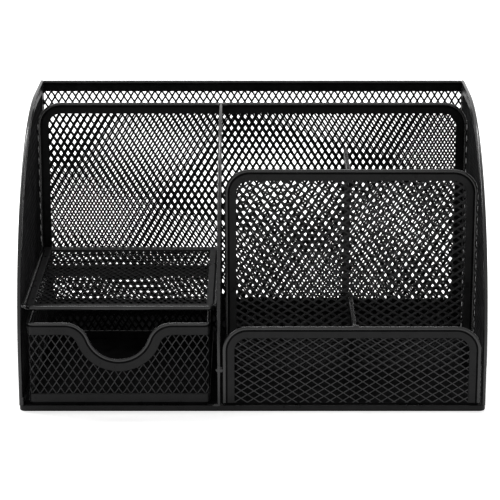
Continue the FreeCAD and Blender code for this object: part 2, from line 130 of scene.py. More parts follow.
# Light and camera, in metres, watts and millimetres of film.
AIM = (0, 0, 0.060)
LAMP_WIDTH = 0.14
LAMPS = (("overhead lamp", (-0.26, 0.6, 1.25), (0.26, 0.6, 1.25), 5),
         ("left lamp", (-0.24, 0.52, 1.22), (-1.05, 0.18, 0.60), 9.5),
         ("right lamp", (0.24, 0.52, 1.22), (1.05, 0.18, 0.60), 3.5))
FLOOR_HALF = 6
FLOOR_TONE = 0.80
FLOOR_GLOW = (0.72, 0.90)
SHADE_REACH = 0.03
WORLD_DIM = 0.25
WORLD_WHITE = 1.0
CAMERA_PLACE = (0, -0.9930, 0.3517)
SENSOR = 36
LENS = 150.3
SHIFT = (-0.0048, -0.0046)
CLIP_START = 0.05


# ---- finishes ----

def add_node(tree, kind, inputs=(), **settings):
    """Adds a node, sets its properties, and links or sets its inputs."""
    made = tree.nodes.new(kind)
    for name, value in settings.items():
        setattr(made, name, value)
    for key, value in dict(inputs).items():
        if isinstance(value, bpy.types.NodeSocket):
            tree.links.new(value, made.inputs[key])
        else:
            made.inputs[key].default_value = value
    return made


MOTTLE_SCALE = 160.0
GRAIN_SCALE = 1400.0
PEEL_DEPTH = 0.0002
MIDDLE_NOISE = (0.3, 0.7)
COOL = 1.03


def powder_coat(name, tone, sheen, gloss, peel):
    """Black powder coat: a faint mottle in tone and sheen over the orange peel of the paint."""
    material = bpy.data.materials.new(name)
    material.use_nodes = True
    tree = material.node_tree
    shader = tree.nodes["Principled BSDF"]
    where = add_node(tree, "ShaderNodeTexCoord").outputs["Object"]
    mottle = add_node(tree, "ShaderNodeTexNoise", {
        "Vector": where, "Scale": MOTTLE_SCALE, "Detail": 3.0})
    shade = add_node(tree, "ShaderNodeValToRGB", {"Fac": mottle.outputs["Fac"]})
    for stop, level, place in zip(shade.color_ramp.elements, tone, MIDDLE_NOISE):
        stop.position = place
        stop.color = (level, level, level * COOL, 1)
    rough = add_node(tree, "ShaderNodeMapRange", {
        "Value": mottle.outputs["Fac"],
        "From Min": MIDDLE_NOISE[0], "From Max": MIDDLE_NOISE[1],
        "To Min": sheen[0], "To Max": sheen[1]})
    grain = add_node(tree, "ShaderNodeTexNoise", {
        "Vector": where, "Scale": GRAIN_SCALE, "Detail": 2.0})
    bump = add_node(tree, "ShaderNodeBump", {
        "Height": grain.outputs["Fac"], "Strength": peel, "Distance": PEEL_DEPTH})
    tree.links.new(shade.outputs["Color"], shader.inputs["Base Color"])
    tree.links.new(rough.outputs["Result"], shader.inputs["Roughness"])
    tree.links.new(bump.outputs["Normal"], shader.inputs["Normal"])
    shader.inputs["Specular IOR Level"].default_value = gloss
    return material


# One black powder coat in copies: lighter and glossier where the lamps fall, darker and duller
# where shade falls, as painted light and shade. Tones from dark to light, roughnesses from
# smooth to rough, gloss, and orange peel.
band_coat = powder_coat("strip powder coat", (0.008, 0.016), (0.26, 0.36), 0.13, 0.15)
# The rolled edges, and the rods and welds: smoother than the band, glossier for a painted sheen
# on their highlights and darker for painted shade beneath them.
nose_sheen_coat = powder_coat("rolled edge sheen coat", (0.005, 0.012), (0.16, 0.24), 0.40, 0.006)
# The front mesh, on the front panel and the drawer's front: lighter and glossier than the
# strips, a painted light on its strands.
lit_mesh_coat = powder_coat("mesh powder coat", (0.026, 0.046), (0.28, 0.40), 0.30, 0.15)
# The strips of the sides, back and letter divider: darker and duller than the front strips, a
# painted shade.
shaded_band_coat = powder_coat("shaded rear strip powder coat", (0.005, 0.012), (0.30, 0.40), 0.05, 0.15)
# The mesh of the back, letter divider, partition, dividers, shelf and the drawer's sides and
# back: dark and dull, a painted shade.
shaded_mesh_coat = powder_coat("shaded rear mesh powder coat", (0.005, 0.012), (0.30, 0.42), 0.02, 0.15)
# The cup front's mesh: between the lit front mesh and the shaded rear mesh, painted light and
# shade.
half_shaded_mesh_coat = powder_coat("half-shaded cup mesh powder coat", (0.020, 0.036), (0.28, 0.40), 0.15, 0.15)
# The side panels' mesh: dull, with no gloss, a painted shade.
shaded_side_mesh_coat = powder_coat("shaded side mesh powder coat", (0.018, 0.036), (0.40, 0.55), 0.0, 0.15)
# Matt and dark with no gloss: painted shade for the creases beside the rolled edges, the
# drawer's lip, the flange and the floor sheets.
matt_shade_coat = powder_coat("shaded matt powder coat", (0.008, 0.015), (0.55, 0.65), 0.0, 0.10)


# ---- the expanded metal ----

def expanded_metal():
    """Node tree that fills a flat area with expanded metal, long way along X."""
    tree = bpy.data.node_groups.new("Expanded metal", "GeometryNodeTree")
    face = tree.interface
    face.new_socket("Area", in_out="INPUT", socket_type="NodeSocketGeometry")
    for name in ("Long Way", "Short Way", "Bond", "Hole Long Way", "Hole Short Way",
                 "Thickness", "Tilt", "Ridge"):
        face.new_socket(name, in_out="INPUT", socket_type="NodeSocketFloat")
    face.new_socket("Finish", in_out="INPUT", socket_type="NodeSocketMaterial")
    face.new_socket("Sheet", in_out="OUTPUT", socket_type="NodeSocketGeometry")
    given = tree.nodes.new("NodeGroupInput").outputs

    def maths(operation, first, second=0.0):
        return add_node(tree, "ShaderNodeMath", {0: first, 1: second},
                        operation=operation).outputs[0]

    def vector(x=0.0, y=0.0, z=0.0):
        return add_node(tree, "ShaderNodeCombineXYZ", {"X": x, "Y": y, "Z": z}).outputs[0]

    def either(test, no, yes):
        return add_node(tree, "GeometryNodeSwitch", {"Switch": test, "False": no, "True": yes},
                        input_type="FLOAT").outputs[0]

    half_long = maths("MULTIPLY", given["Long Way"], 0.5)
    half_short = maths("MULTIPLY", given["Short Way"], 0.5)
    half_bond = maths("MULTIPLY", given["Bond"], 0.5)

    # One cell: a six-sided ring of flat strand halves that tiles with its neighbours.
    ring = add_node(tree, "GeometryNodeMeshCircle", {"Vertices": 6, "Radius": 1.0},
                    fill_type="NGON")
    ring = add_node(tree, "GeometryNodeExtrudeMesh", {
        "Mesh": ring.outputs[0], "Offset Scale": 0.0}, mode="FACES")
    inner = ring.outputs["Top"]
    spot = add_node(tree, "ShaderNodeSeparateXYZ",
                    {0: add_node(tree, "GeometryNodeInputPosition").outputs[0]})
    along, across = (maths("SIGN", spot.outputs[axis]) for axis in ("X", "Y"))
    tip = maths("GREATER_THAN", maths("ABSOLUTE", spot.outputs["X"]), 0.75)

    def corner(tip_reach, side_reach, height):
        return vector(maths("MULTIPLY", along, either(tip, half_bond, tip_reach)),
                      maths("MULTIPLY", across, either(tip, side_reach, 0.0)), height)

    hole = corner(maths("MULTIPLY", given["Hole Long Way"], 0.5),
                  maths("MULTIPLY", given["Hole Short Way"], 0.5),
                  maths("MULTIPLY", across, either(tip, given["Tilt"], 0.0)))
    rim = corner(maths("SUBTRACT", half_long, half_bond), half_short, given["Ridge"])
    placed = add_node(tree, "GeometryNodeSwitch", {"Switch": inner, "False": rim, "True": hole},
                      input_type="VECTOR")
    cell = add_node(tree, "GeometryNodeSetPosition", {
        "Geometry": ring.outputs["Mesh"], "Position": placed.outputs[0]})
    cell = add_node(tree, "GeometryNodeDeleteGeometry", {
        "Geometry": cell.outputs[0], "Selection": inner}, domain="FACE", mode="ONLY_FACE")

    # Two square grids of cell centres, half a pitch apart both ways, over the whole area.
    bounds = add_node(tree, "GeometryNodeBoundBox", {"Geometry": given["Area"]})
    low, high = (add_node(tree, "ShaderNodeSeparateXYZ", {0: bounds.outputs[end]}).outputs
                 for end in ("Min", "Max"))

    def nearest_row(axis, pitch):
        """The row of cells through the middle of the area, one pitch apart from the origin."""
        centre = maths("MULTIPLY", maths("ADD", low[axis], high[axis]), 0.5)
        return maths("SNAP", maths("ADD", centre, maths("MULTIPLY", pitch, 0.5)), pitch)

    middle = vector(nearest_row("X", given["Long Way"]), nearest_row("Y", given["Short Way"]))
    centres = add_node(tree, "GeometryNodeJoinGeometry")
    for offset in (vector(), vector(half_long, half_short)):
        counts, spans = [], []
        for axis, pitch in (("X", given["Long Way"]), ("Y", given["Short Way"])):
            span = maths("DIVIDE", maths("SUBTRACT", high[axis], low[axis]), pitch)
            # An odd number of rows keeps one row on the middle of the area.
            pairs = maths("CEIL", maths("MULTIPLY", span, 0.5))
            count = maths("ADD", maths("MULTIPLY", pairs, 2.0), 5.0)
            counts.append(count)
            spans.append(maths("MULTIPLY", maths("SUBTRACT", count, 1.0), pitch))
        grid = add_node(tree, "GeometryNodeMeshGrid", {
            "Size X": spans[0], "Size Y": spans[1],
            "Vertices X": counts[0], "Vertices Y": counts[1]})
        moved = add_node(tree, "ShaderNodeVectorMath", {0: middle, 1: offset}, operation="ADD")
        grid = add_node(tree, "GeometryNodeTransform", {
            "Geometry": grid.outputs["Mesh"], "Translation": moved.outputs[0]})
        tree.links.new(grid.outputs[0], centres.inputs[0])

    # Only the centres over the area are kept.
    over = add_node(tree, "ShaderNodeVectorMath", {
        0: add_node(tree, "GeometryNodeInputPosition").outputs[0], 1: (0, 0, 1)},
        operation="ADD")
    seen = add_node(tree, "GeometryNodeRaycast", {
        "Target Geometry": given["Area"], "Source Position": over.outputs[0],
        "Ray Direction": (0, 0, -1), "Ray Length": 2.0})
    outside = add_node(tree, "FunctionNodeBooleanMath", {0: seen.outputs["Is Hit"]},
                       operation="NOT")
    kept = add_node(tree, "GeometryNodeDeleteGeometry", {
        "Geometry": centres.outputs[0], "Selection": outside.outputs[0]}, domain="POINT")
    cells = add_node(tree, "GeometryNodeInstanceOnPoints", {
        "Points": kept.outputs[0], "Instance": cell.outputs[0]})
    cells = add_node(tree, "GeometryNodeRealizeInstances", {"Geometry": cells.outputs[0]})
    web = add_node(tree, "GeometryNodeMergeByDistance", {
        "Geometry": cells.outputs[0], "Distance": JOIN * MM})

    # The web gets its thickness, with a closed underside.
    top = add_node(tree, "GeometryNodeExtrudeMesh", {
        "Mesh": web.outputs[0], "Offset": (0, 0, 1), "Offset Scale": given["Thickness"],
        "Individual": False}, mode="FACES")
    underside = add_node(tree, "GeometryNodeFlipFaces", {"Mesh": web.outputs[0]})
    both = add_node(tree, "GeometryNodeJoinGeometry")
    tree.links.new(underside.outputs[0], both.inputs[0])
    tree.links.new(top.outputs["Mesh"], both.inputs[0])
    solid = add_node(tree, "GeometryNodeMergeByDistance", {
        "Geometry": both.outputs[0], "Distance": JOIN * MM})
    centred = add_node(tree, "GeometryNodeSetPosition", {
        "Geometry": solid.outputs[0],
        "Offset": vector(z=maths("MULTIPLY", given["Thickness"], -0.5))})
    plain = add_node(tree, "GeometryNodeRealizeInstances", {"Geometry": centred.outputs[0]})
    painted = add_node(tree, "GeometryNodeSetMaterial", {
        "Geometry": plain.outputs[0], "Material": given["Finish"]})
    add_node(tree, "NodeGroupOutput", {0: painted.outputs[0]})
    return tree


METAL = expanded_metal()


def fill(name, area, long_way=LONG_WAY, short_way=SHORT_WAY, strand=STRAND, tilt=TILT,
         finish=None):
    """Mesh of expanded metal over a flat area, given as points (along the long way, across it).

    The centre of one hole is at the origin.
    """
    mesh = bpy.data.meshes.new(name + " area")
    mesh.from_pydata([(x * MM, y * MM, 0) for x, y in area], [], [range(len(area))])
    thing = bpy.data.objects.new(name + " area", mesh)
    bpy.context.scene.collection.objects.link(thing)
    # The length of a strand between its bonds, times its width.
    strand_area = math.hypot(long_way / 2 - BOND, short_way / 2) * strand
    sizes = {
        "Long Way": long_way, "Short Way": short_way, "Bond": BOND,
        "Hole Long Way": long_way - BOND - strand_area / (short_way / 2),
        "Hole Short Way": short_way - strand_area / (long_way / 2 - BOND),
        "Thickness": SHEET, "Tilt": tilt, "Ridge": RIDGE,
    }
    modifier = thing.modifiers.new("Expanded metal", "NODES")
    modifier.node_group = METAL
    for socket in METAL.interface.items_tree:
        if socket.name in sizes:
            modifier[socket.identifier] = sizes[socket.name] * MM
        elif socket.name == "Finish":
            modifier[socket.identifier] = finish or lit_mesh_coat
    graph = bpy.context.evaluated_depsgraph_get()
    made = bpy.data.meshes.new_from_object(thing.evaluated_get(graph))
    made.name = name
    bpy.data.objects.remove(thing)
    return made


# ---- the folded strips ----

def folded_strip():
    """Node tree that sweeps a strip's section along its path.

    Each point of the path carries the directions into the panel and out of it, and each
    point of the section its distances along the two. The rolled nose has a painted sheen of
    its own and the crease beside it a painted shade, each as its own finish.
    """
    tree = bpy.data.node_groups.new("Folded strip", "GeometryNodeTree")
    face = tree.interface
    face.new_socket("Path", in_out="INPUT", socket_type="NodeSocketGeometry")
    face.new_socket("Section", in_out="INPUT", socket_type="NodeSocketObject")
    face.new_socket("Band Finish", in_out="INPUT", socket_type="NodeSocketMaterial")
    face.new_socket("Nose Finish", in_out="INPUT", socket_type="NodeSocketMaterial")
    face.new_socket("Crease Finish", in_out="INPUT", socket_type="NodeSocketMaterial")
    face.new_socket("Strip", in_out="OUTPUT", socket_type="NodeSocketGeometry")
    given = tree.nodes.new("NodeGroupInput").outputs
    here = add_node(tree, "GeometryNodeInputPosition").outputs[0]

    def stored(name, kind="FLOAT_VECTOR"):
        return add_node(tree, "GeometryNodeInputNamedAttribute", {"Name": name},
                        data_type=kind).outputs["Attribute"]

    def line(mesh, name):
        """The mesh's edges as a curve that remembers where its points were."""
        curve = add_node(tree, "GeometryNodeMeshToCurve", {"Mesh": mesh})
        return add_node(tree, "GeometryNodeStoreNamedAttribute", {
            "Geometry": curve.outputs[0], "Name": name, "Value": here},
            data_type="FLOAT_VECTOR").outputs[0]

    def vectors(operation, first, second):
        return add_node(tree, "ShaderNodeVectorMath", {0: first, 1: second},
                        operation=operation).outputs[0]

    section = add_node(tree, "GeometryNodeObjectInfo", {"Object": given["Section"]})
    swept = add_node(tree, "GeometryNodeCurveToMesh", {
        "Curve": line(given["Path"], "spot"),
        "Profile Curve": line(section.outputs["Geometry"], "reach"), "Fill Caps": True})
    reach = add_node(tree, "ShaderNodeSeparateXYZ", {0: stored("reach")})
    place = stored("spot")
    for name, axis in (("inward", "X"), ("outward", "Y")):
        distance = add_node(tree, "ShaderNodeCombineXYZ", {
            end: reach.outputs[axis] for end in "XYZ"}).outputs[0]
        place = vectors("ADD", place, vectors("MULTIPLY", stored(name), distance))
    shaped = add_node(tree, "GeometryNodeSetPosition", {
        "Geometry": swept.outputs[0], "Position": place}).outputs[0]
    rolled, creased = (add_node(tree, "FunctionNodeCompare", {
        "A": stored("nose", "FLOAT"), "B": value, "Epsilon": spread},
        data_type="FLOAT", operation="EQUAL") for value, spread in ((1.0, 0.2), (0.5, 0.3)))
    plain = add_node(tree, "GeometryNodeRealizeInstances", {"Geometry": shaped}).outputs[0]
    painted = add_node(tree, "GeometryNodeSetMaterial", {
        "Geometry": plain, "Material": given["Band Finish"]}).outputs[0]
    for part, finish in ((rolled, "Nose Finish"), (creased, "Crease Finish")):
        painted = add_node(tree, "GeometryNodeSetMaterial", {
            "Geometry": painted, "Selection": part.outputs[0],
            "Material": given[finish]}).outputs[0]
    add_node(tree, "NodeGroupOutput", {0: painted})
    return tree


FOLD = folded_strip()


def line_object(name, points, closed, carried):
    """A line of edges, in millimetres, whose points carry the given values."""
    count = len(points)
    edges = [(i, (i + 1) % count) for i in range(count if closed else count - 1)]
    mesh = bpy.data.meshes.new(name)
    mesh.from_pydata([[value * MM for value in point] for point in points], edges, [])
    for key, values in carried.items():
        vector = np.ndim(values) == 2
        kept = mesh.attributes.new(key, "FLOAT_VECTOR" if vector else "FLOAT", "POINT")
        kept.data.foreach_set("vector" if vector else "value",
                              np.array(values, dtype=np.float32).ravel())
    thing = bpy.data.objects.new(name, mesh)
    bpy.context.scene.collection.objects.link(thing)
    return thing


def nosed_section(nose=NOSE, width=STRIP_WIDTH, thickness=STRIP):
    """A rolled nose, a crease and a flat band with softened edges, measured from the nose's
    centre. Returns the points, and for each of them 1 on the nose, 0.5 in the crease and 0 on
    the band.
    """
    radius, half, crease = nose / 2, thickness / 2, NECK / 2
    start = math.degrees(math.asin(crease / radius))
    rolled = arc((0, 0), radius, start, 360 - start, 20)
    inner = width - radius
    starts, ends, full = (radius + step for step in (CREASE_START, CREASE_END, BAND_START))
    band = [(starts, -crease), (ends, -crease), (full, -half),
            (inner - SOFT, -half), (inner, -half + SOFT), (inner, half - SOFT),
            (inner - SOFT, half), (full, half), (ends, crease), (starts, crease)]
    # The 1s pick the nose's painted sheen and the 0.5s the crease's painted shade.
    return rolled + band, [1.0] * len(rolled) + [0.5] * 2 + [0.0] * 6 + [0.5] * 2


def flat_section(width, thickness):
    """A flat band with softened edges, measured from its outer edge."""
    half = thickness / 2
    points = [(0, -half + SOFT), (SOFT, -half), (width - SOFT, -half), (width, -half + SOFT),
              (width, half - SOFT), (width - SOFT, half), (SOFT, half), (0, half - SOFT)]
    return points, [0.0] * len(points)


def sweep(name, spots, inwards, outwards, section, closed=False, finish=None):
    """Mesh of a strip's section along its path."""
    points, nose = section
    path = line_object(name + " path", spots, closed, {
        "inward": inwards, "outward": outwards})
    profile = line_object(name + " section", [(u, n, 0) for u, n in points], True,
                          {"nose": nose})
    modifier = path.modifiers.new("Folded strip", "NODES")
    modifier.node_group = FOLD
    values = {"Section": profile, "Band Finish": finish or band_coat, "Nose Finish": nose_sheen_coat,
              "Crease Finish": matt_shade_coat}
    for socket in FOLD.interface.items_tree:
        if socket.name in values:
            modifier[socket.identifier] = values[socket.name]
    graph = bpy.context.evaluated_depsgraph_get()
    mesh = bpy.data.meshes.new_from_object(path.evaluated_get(graph))
    mesh.name = name
    for thing in (path, profile):
        bpy.data.objects.remove(thing)
    for key in ("spot", "reach", "inward", "outward", "nose"):
        mesh.attributes.remove(mesh.attributes[key])
    return mesh


def put(name, meshes, node, body, slot):
    """Joins finished meshes to one piece that stands for a node of the frame."""
    finishes = []
    joined = bmesh.new()
    for mesh in meshes:
        finishes += [finish for finish in mesh.materials if finish not in finishes]
        first = len(joined.faces)
        joined.from_mesh(mesh)
        joined.faces.ensure_lookup_table()
        for face in joined.faces[first:]:
            face.material_index = finishes.index(mesh.materials[face.material_index])
        added = bmesh.new()
        added.from_mesh(mesh)
        if added.calc_volume(signed=True) < 0:
            bmesh.ops.reverse_faces(joined, faces=joined.faces[first:])
        added.free()
    whole = bpy.data.meshes.new(name)
    joined.to_mesh(whole)
    joined.free()
    for finish in finishes:
        whole.materials.append(finish)
    if slot == "strip":
        whole.shade_smooth()
        whole.set_sharp_from_angle(angle=math.radians(32))
    piece = bpy.data.objects.new(name, whole)
    bpy.context.scene.collection.objects.link(piece)
    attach(piece, body)
    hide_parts(node)


def solid(name, build, finish):
    """Mesh of a small solid."""
    shape = bmesh.new()
    build(shape)
    mesh = bpy.data.meshes.new(name)
    shape.to_mesh(mesh)
    shape.free()
    mesh.materials.append(finish)
    return mesh


def rod(x, y, foot, top, diameter):
    """An upright round bar, in millimetres."""
    middle = Vector((x, y, (foot + top) / 2)) * MM
    return solid("rod", lambda shape: bmesh.ops.create_cone(
        shape, cap_ends=True, segments=20, radius1=diameter / 2 * MM, radius2=diameter / 2 * MM,
        depth=(top - foot) * MM, matrix=Matrix.Translation(middle)), nose_sheen_coat)


def weld(at, half_sizes):
    """A ground weld: a lump a little uneven in its surface, in millimetres."""
    def build(shape):
        bmesh.ops.create_icosphere(shape, subdivisions=3, radius=1.0)
        for vert in shape.verts:
            uneven = 1 + 0.12 * noise.noise(vert.co * 1.7 + Vector(at))
            vert.co = Vector([(place + half * reach * uneven) * MM for place, half, reach
                              in zip(at, half_sizes, vert.co)])
    return solid("weld", build, nose_sheen_coat)


def bar_block(low, high):
    """A square bar between two corners, in millimetres, with softened edges."""
    def build(shape):
        bmesh.ops.create_cube(shape, size=1.0)
        for vert in shape.verts:
            vert.co = Vector([(a if reach < 0 else b) * MM
                              for a, b, reach in zip(low, high, vert.co)])
        bmesh.ops.bevel(shape, geom=shape.edges[:], offset=0.12 * MM, segments=2,
                        affect="EDGES", profile=0.5)
    return solid("bar", build, matt_shade_coat)


# ---- panels ----

AXES = {"x": (1, 2), "y": (0, 2), "z": (0, 1)}
# Going clockwise round a panel: the way along each side, and the way into the panel from it.
HEADING = {"a-": (0, 1), "b+": (1, 0), "a+": (0, -1), "b-": (-1, 0)}
INWARD = {"a-": (1, 0), "b+": (0, -1), "a+": (-1, 0), "b-": (0, 1)}


def arc(centre, radius, start, end, steps):
    """Points along an arc, in degrees."""
    return [(centre[0] + radius * math.cos(math.radians(start + (end - start) * i / steps)),
             centre[1] + radius * math.sin(math.radians(start + (end - start) * i / steps)))
            for i in range(steps + 1)]


def outline(low, high, inset, corners):
    """A rectangle moved inwards side by side, with rounded corners, from its lower left."""
    a0, a1 = low[0] + inset.get("a-", 0), high[0] - inset.get("a+", 0)
    b0, b1 = low[1] + inset.get("b-", 0), high[1] - inset.get("b+", 0)
    points = []
    for key, (a, b), turn in (("a-b-", (a0, b0), 180), ("a+b-", (a1, b0), 270),
                              ("a+b+", (a1, b1), 0), ("a-b+", (a0, b1), 90)):
        radius = corners.get(key, 0)
        if radius:
            inwards = (1 if a == a0 else -1, 1 if b == b0 else -1)
            points += arc((a + inwards[0] * radius, b + inwards[1] * radius), radius,
                          turn, turn + 90, 24)
        else:
            points.append((a, b))
    return points


def edge_path(low, high, sides, inset, corners, start=None, end=None):
    """Path inside consecutive sides of a panel, clockwise: points and the ways into the panel.

    start and end move the two ends along their sides. Outer corner radii are in corners.
    """
    line = {"a-": low[0] + inset, "a+": high[0] - inset,
            "b-": low[1] + inset, "b+": high[1] - inset}
    reach = {"a-": (low[1], high[1]), "a+": (high[1], low[1]),
             "b+": (low[0], high[0]), "b-": (high[0], low[0])}

    def on(side, along):
        return (line[side], along) if side[0] == "a" else (along, line[side])

    spots = [on(sides[0], reach[sides[0]][0] if start is None else start)]
    ways = [INWARD[sides[0]]]
    for one, two in zip(sides, sides[1:]):
        one_a = one[0] == "a"
        radius = corners.get(one + two if one_a else two + one, 0)
        corner = (line[one if one_a else two], line[two if one_a else one])
        into = np.array((INWARD[one], INWARD[two]), dtype=float)
        if not radius:
            spots.append(corner)
            ways.append(tuple(into[0] + into[1]))
            continue
        radius -= inset
        centre = np.array(corner) + radius * (into[0] + into[1])
        steps = 60 if radius > 50 else 14
        for i in range(steps + 1):
            turn = math.pi / 2 * i / steps
            way = math.cos(turn) * into[0] + math.sin(turn) * into[1]
            spots.append(tuple(centre - radius * way))
            ways.append(tuple(way))
    spots.append(on(sides[-1], reach[sides[-1]][1] if end is None else end))
    ways.append(INWARD[sides[-1]])
    return spots, ways


def cut_off(mesh, axis, level, heading):
    """Cuts a sheet off along a line, beyond it in the heading, and closes the cut strands."""
    way = Vector((0, 0, 0))
    way[axis] = heading
    shape = bmesh.new()
    shape.from_mesh(mesh)
    bmesh.ops.bisect_plane(shape, geom=shape.verts[:] + shape.edges[:] + shape.faces[:],
                           plane_co=way * heading * level * MM, plane_no=way, clear_outer=True)
    bmesh.ops.holes_fill(shape, edges=[edge for edge in shape.edges if edge.is_boundary])
    shape.to_mesh(mesh)
    shape.free()


class Panel:
    """A flat panel of the stand: its sheet of expanded metal and the strip round it.

    Its in-plane axes are called a and b, its sides a-, a+, b- and b+. The outline is that of
    the frame's sheet, grown to the outer line of the strips on the edged sides.
    """

    def __init__(self, node, normal, edged=(), corners={}):
        low, high = ([value / MM for value in corner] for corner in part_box(node))
        self.node, self.normal, self.edged, self.corners = node, normal, edged, corners
        self.first, self.second = AXES[normal]
        self.plane = (low["xyz".index(normal)] + high["xyz".index(normal)]) / 2
        grow = {side: SETBACK if side in edged else 0 for side in HEADING}
        self.low = (low[self.first] - grow["a-"], low[self.second] - grow["b-"])
        self.high = (high[self.first] + grow["a+"], high[self.second] + grow["b+"])

    def metal(self, long_axis, long_way=LONG_WAY, short_way=SHORT_WAY, lift=0.0,
              hole=(0, 0), lean=0.0, slope=0.0, **kind):
        """The expanded metal. Its cells reach to the outer line of an edged side, where the
        strip hides their ends, and past a bare side, where they are cut off. The lower edge
        may be lifted. The centre of one hole is given, and how far its columns lean and its
        rows slope, as tangents.
        """
        reach = {"a": (long_way if long_axis == "a" else short_way) / 2,
                 "b": (long_way if long_axis == "b" else short_way) / 2}
        inset = {side: reach[side[0]] * (1 if side in self.edged else -1) for side in HEADING}
        grown = max(reach.values())
        area = outline(self.low, self.high, inset,
                       {key: radius - grown for key, radius in self.corners.items()})
        # The lattice is laid out square, seen from the hole, and then leans and slopes.
        area = [(a - hole[0], b - hole[1]) for a, b in area]
        area = [(a + lean * b, b + slope * a) for a, b in area]
        axes = [Vector((0, 0, 0)) for _ in range(2)]
        axes[0][self.first], axes[0][self.second] = 1, -slope
        axes[1][self.first], axes[1][self.second] = -lean, 1
        if long_axis == "b":
            axes.reverse()
            area = [(b, a) for a, b in reversed(area)]
        origin = Vector((0, 0, 0))
        origin["xyz".index(self.normal)] = self.plane * MM
        origin[self.first], origin[self.second] = hole[0] * MM, hole[1] * MM
        turn = Matrix((axes[0], axes[1], axes[0].cross(axes[1]).normalized()))
        turn = turn.transposed().to_4x4()
        mesh = fill(self.node, area, long_way, short_way, **kind)
        mesh.transform(Matrix.Translation(origin) @ turn)
        for side, ends in (("a-", self.low[0]), ("a+", self.high[0]),
                           ("b-", self.low[1] + lift), ("b+", self.high[1])):
            if side not in self.edged:
                axis = self.first if side[0] == "a" else self.second
                cut_off(mesh, axis, ends, -1 if side[1] == "-" else 1)
        put(self.node.replace("_mesh", "_metal"), [mesh], self.node, "frame", "mesh")

    def in_space(self, pairs, height):
        """Pairs of in-plane values as places or ways in space."""
        points = np.zeros((len(pairs), 3))
        points[:, self.first], points[:, self.second] = np.array(pairs).T
        points[:, "xyz".index(self.normal)] = height
        return points

    def strip(self, sides, section=None, inset=NOSE / 2, start=None, end=None, closing=0,
              finish=None):
        """The strip along consecutive sides. With closing, its start narrows to a rounded
        end over that length.
        """
        spots, ways = edge_path(self.low, self.high, sides, inset, self.corners, start, end)
        outwards = self.in_space([(0, 0)] * len(spots), 1)
        if closing:
            turns = [math.pi / 2 * i / 6 for i in range(7)]
            heading = np.array(HEADING[sides[0]])
            spots = [tuple(np.array(spots[0]) + heading * closing * (1 - math.cos(turn)))
                     for turn in turns] + spots[1:]
            ways = [ways[0]] * len(turns) + ways[1:]
            narrow = np.ones((len(spots), 1))
            narrow[:len(turns), 0] = [max(math.sin(turn), 0.12) for turn in turns]
            outwards = self.in_space([(0, 0)] * len(spots), 1) * narrow
        return sweep(self.node, self.in_space(spots, self.plane), self.in_space(ways, 0),
                     outwards, section or nosed_section(), finish=finish)


def put_strip(node, *meshes, body="frame"):
    """Joins finished meshes to the piece that stands for a strip of the frame."""
    name = node.replace("_trim", "_strip")
    put(name if name != node else node + "_strip", meshes, node, body, "strip")


ARCH = {"a-b+": PANEL_CORNER, "a+b+": PANEL_CORNER}
CURVE = {"a-b+": SIDE_RADIUS}
OVER = ("a-", "b+", "a+")

# Each panel's coat goes by where it stands: lit copies at the front, shaded copies at the sides
# and back, as painted light and shade.
left = Panel("left_side_mesh", "x", OVER, CURVE)
left.metal("b", strand=SIDE_STRAND, tilt=SIDE_TILT, finish=shaded_side_mesh_coat)
foot, front = left.low[1], left.low[0]
sleeve = rod(OUTER_LEFT + SLEEVE / 2, front + SLEEVE / 2, foot, foot + SLEEVE_HEIGHT, SLEEVE)
put_strip("left_side_trim", left.strip(OVER, finish=shaded_band_coat), sleeve)

right = Panel("right_side_mesh", "x", OVER, CURVE)
right.metal("b", strand=SIDE_STRAND, tilt=SIDE_TILT, finish=shaded_side_mesh_coat)
put_strip("right_side_trim",
          right.strip(OVER, start=BAR_TOP, closing=NOSE / 2, finish=shaded_band_coat),
          rod(right.plane, front + NOSE / 2, foot, BAR_TOP + NOSE, BAR),
          weld((right.plane, front + NOSE / 2 + 0.2, BAR_TOP), (0.9, 0.9, 1.6)))

partition = Panel("partition_mesh", "x", ("a-", "b+"), CURVE)
partition.metal("b", finish=shaded_mesh_coat)
post = (partition.plane, front + NOSE / 2)
put_strip("partition_trim", partition.strip(("a-", "b+"), start=BAR_TOP, closing=NOSE / 2),
          rod(*post, foot, BAR_TOP + NOSE, BAR),
          weld((post[0] + 0.4, post[1], BAR_TOP - 1.6), (2.1, 0.9, 1.3)),
          weld((post[0] - 1.1, post[1], foot - 0.2), (2.3, 0.9, 0.9)),
          weld((post[0], partition.high[0], partition.high[1] - 0.9), (2.9, 0.9, 0.8)))

back = Panel("back_mesh", "y", ("b-", "b+"))
back.metal("b", finish=shaded_mesh_coat, **BACK_LATTICE)
put_strip("back_top_trim", back.strip(("b+",), finish=shaded_band_coat))

letter = Panel("letter_divider_mesh", "y", OVER, ARCH)
letter.metal("b", finish=shaded_mesh_coat, **LETTER_LATTICE)
put_strip("letter_divider_trim", letter.strip(OVER, finish=shaded_band_coat))

cup = Panel("cup_front_mesh", "y", OVER, ARCH)
cup.metal("a", finish=half_shaded_mesh_coat, **CUP_LATTICE)
put_strip("cup_front_trim", cup.strip(OVER))

# The front panel stops a little over the base, on a flange set back behind its strip.
LIFT = 1.3
tray = Panel("front_panel_mesh", "y", OVER, ARCH)
tray.metal("a", lift=LIFT, strand=FINE_STRAND, **TRAY_LATTICE)
# The flange is in the matt dark coat, a painted shade in its recess.
flange = bar_block((tray.low[0] + 1.0, tray.plane + 0.4, foot),
                   (tray.high[0] - 1.0, tray.plane + 1.1, foot + LIFT))
put_strip("front_panel_trim",
          tray.strip(OVER, start=foot + LIFT, end=foot + LIFT), flange)

cup_divider = Panel("cup_divider_mesh", "x", ("b+",))
cup_divider.metal("b", finish=shaded_mesh_coat)
put_strip("cup_divider_trim", cup_divider.strip(("b+",)))

